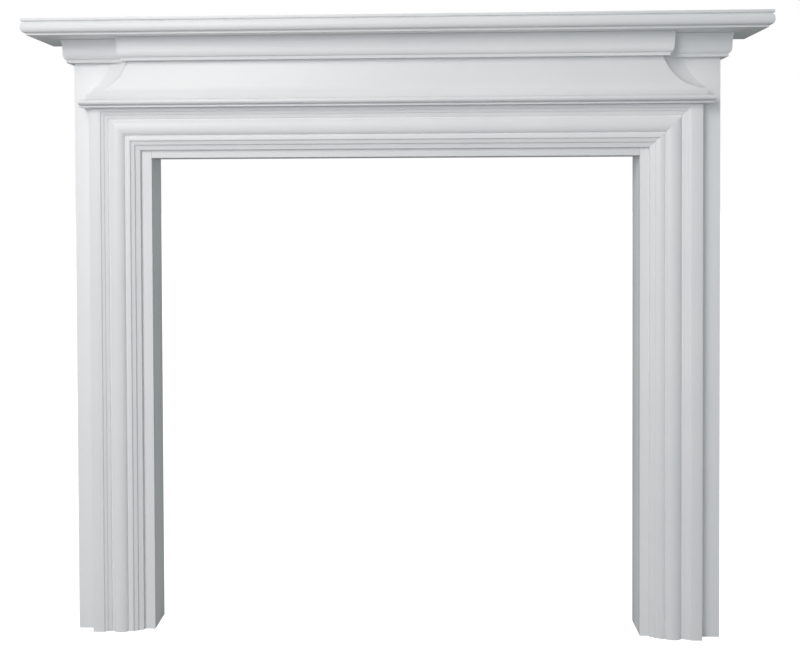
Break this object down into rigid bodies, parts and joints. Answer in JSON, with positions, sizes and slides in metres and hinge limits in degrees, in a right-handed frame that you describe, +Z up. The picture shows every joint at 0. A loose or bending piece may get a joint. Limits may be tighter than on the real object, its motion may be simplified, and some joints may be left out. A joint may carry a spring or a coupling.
{
  "type": "fireplace mantelpiece",
  "caption": "White painted timber fireplace surround with a moulded shelf on a breakfront crown, a frieze with scooped ends and a mitred architrave round a square opening.",
  "frame": {"origin": "on the floor, under the middle of the whole piece's bounding box", "axes": "+X to the viewer's right, +Y back to the wall, +Z up; the front faces -Y"},
  "size_m": [1.353, 0.163, 1.1495],
  "materials": {
    "architrave_left": "white satin paint",
    "architrave_right": "white satin paint",
    "architrave_top": "white satin paint",
    "crown_centre": "white satin paint",
    "crown_end_left": "white satin paint",
    "crown_end_right": "white satin paint",
    "crown_return_left": "white satin paint",
    "crown_return_right": "white satin paint",
    "crown_side_left": "white satin paint",
    "crown_side_right": "white satin paint",
    "frieze_panel": "white satin paint",
    "frieze_rail": "white satin paint",
    "head_return": "white satin paint",
    "header_board": "white satin paint",
    "inner_return_left": "white satin paint",
    "inner_return_right": "white satin paint",
    "outer_return_left": "white satin paint",
    "outer_return_right": "white satin paint",
    "shelf": "white satin paint",
    "stile_left": "white satin paint",
    "stile_right": "white satin paint"
  },
  "bodies": {
    "root": {"architrave_left": "architrave_left", "architrave_right": "architrave_right", "architrave_top": "architrave_top", "crown_centre": "crown_centre", "crown_end_left": "crown_end_left", "crown_end_right": "crown_end_right", "crown_return_left": "crown_return_left", "crown_return_right": "crown_return_right", "crown_side_left": "crown_side_left", "crown_side_right": "crown_side_right", "frieze_panel": "frieze_panel", "frieze_rail": "frieze_rail", "head_return": "head_return", "header_board": "header_board", "inner_return_left": "inner_return_left", "inner_return_right": "inner_return_right", "outer_return_left": "outer_return_left", "outer_return_right": "outer_return_right", "shelf": "shelf", "stile_left": "stile_left", "stile_right": "stile_right"}
  },
  "joints": []
}
